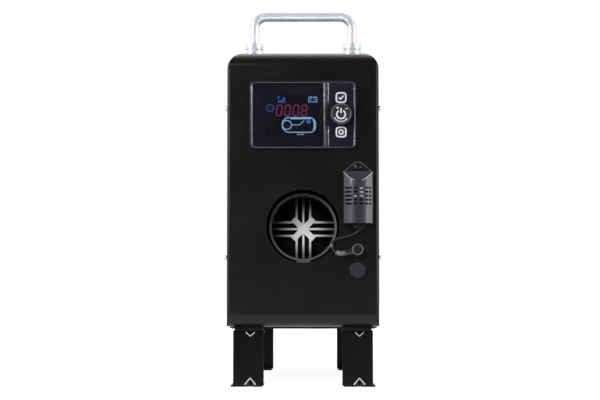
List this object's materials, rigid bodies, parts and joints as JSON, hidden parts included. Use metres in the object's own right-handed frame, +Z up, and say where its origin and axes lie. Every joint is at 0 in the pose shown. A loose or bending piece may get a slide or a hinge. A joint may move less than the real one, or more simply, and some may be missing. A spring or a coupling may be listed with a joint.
{
  "type": "diesel air heater",
  "caption": "Portable all-in-one diesel air heater in an upright black steel case on four legs, with display, knob, air outlet, sensor and handles",
  "frame": {"origin": "on the floor, under the middle of the heater's box without its sensor cord", "axes": "+Z up, the front panel faces -Y, +X to the right of someone looking at the front"},
  "size_m": [0.1572, 0.434, 0.3814],
  "materials": {
    "black_powder_coat": "satin powder coat",
    "leg_powder_coat": "satin powder coat",
    "chrome": "polished",
    "zinc_steel": "zinc plated",
    "black_plastic": "fine moulded grain",
    "gloss_black_plastic": "polished",
    "lens": "tinted, polished",
    "display_glass": "lit display",
    "circuit_board": "solder mask",
    "grey_plastic": "moulded",
    "cast_aluminium": "as cast",
    "steel": "drawn",
    "black_rubber": "matt",
    "plug_rubber": "smooth, matt",
    "tank_plastic": "translucent moulding",
    "motor_steel": "zinc plated",
    "fuel_line_nylon": "smooth",
    "gasket": "matt"
  },
  "bodies": {
    "case": {"front_panel": "black_powder_coat", "cover": "black_powder_coat", "base_plate": "black_powder_coat", "rear_panel": "black_powder_coat", "cover_screws": "zinc_steel", "front_handle": "chrome", "rear_handle": "chrome", "handle_ferrules": "chrome", "handle_screws": "zinc_steel", "leg_front_left": "leg_powder_coat", "leg_front_right": "leg_powder_coat", "leg_rear_left": "leg_powder_coat", "leg_rear_right": "leg_powder_coat", "leg_bolts": "zinc_steel", "leg_pads": "black_rubber", "controller_housing": "gloss_black_plastic", "screen_lens": "lens", "lcd_panel": "display_glass", "controller_board": "circuit_board", "rotary_encoder": "grey_plastic", "sensor_cover": "black_plastic", "sensor_back": "black_plastic", "sensor_board": "grey_plastic", "sensor_gland": "black_plastic", "sensor_screw": "zinc_steel", "sensor_cord": "black_rubber", "jack_plug": "black_rubber", "jack_socket": "black_plastic", "jack_nut": "zinc_steel", "hole_plug": "plug_rubber", "outlet_hood": "black_plastic", "core_shell_upper": "black_plastic", "core_shell_lower": "black_plastic", "core_intake_guard": "black_plastic", "heat_exchanger": "cast_aluminium", "burner": "steel", "glow_plug": "steel", "blower_housing": "cast_aluminium", "blower_motor": "motor_steel", "control_unit": "black_plastic", "core_gasket": "gasket", "core_bracket": "steel", "exhaust_stub": "steel", "combustion_air_stub": "steel", "fuel_tank": "tank_plastic", "fuel_filter": "tank_plastic", "fuel_pump": "motor_steel", "pump_holder": "black_rubber", "fuel_lines": "fuel_line_nylon", "power_gland": "black_plastic"},
    "encoder_rotor": {"encoder_rotor": "steel"},
    "knob": {"knob": "gloss_black_plastic", "knob_shaft": "steel"},
    "ok_button": {"ok_button": "gloss_black_plastic"},
    "settings_button": {"settings_button": "gloss_black_plastic"},
    "filler_cap": {"filler_cap": "black_plastic", "cap_seal": "gasket"},
    "fan_rotor": {"motor_shaft": "steel", "combustion_fan": "black_plastic", "air_impeller": "black_plastic"}
  },
  "joints": [
    {"name": "knob_turn", "type": "hinge", "parent": "case", "child": "encoder_rotor", "pos_m": [0.038, -0.197, 0.2703], "axis": [0, -1, 0], "continuous": true},
    {"name": "knob_press", "type": "slide", "parent": "encoder_rotor", "child": "knob", "axis": [0, 1, 0], "range_m": [0, 0.001], "stiffness_N_per_m": 1500, "springref_m": -0.0012},
    {"name": "ok_press", "type": "slide", "parent": "case", "child": "ok_button", "axis": [0, 1, 0], "range_m": [0, 0.0008], "stiffness_N_per_m": 1200, "springref_m": -0.0012},
    {"name": "settings_press", "type": "slide", "parent": "case", "child": "settings_button", "axis": [0, 1, 0], "range_m": [0, 0.0008], "stiffness_N_per_m": 1200, "springref_m": -0.0012},
    {"name": "cap_lift", "type": "slide", "parent": "case", "child": "filler_cap", "axis": [0, 0, 1], "range_m": [0, 0.04]},
    {"name": "fan_spin", "type": "hinge", "parent": "case", "child": "fan_rotor", "pos_m": [0, 0.103, 0.1599], "axis": [0, 1, 0], "continuous": true}
  ]
}
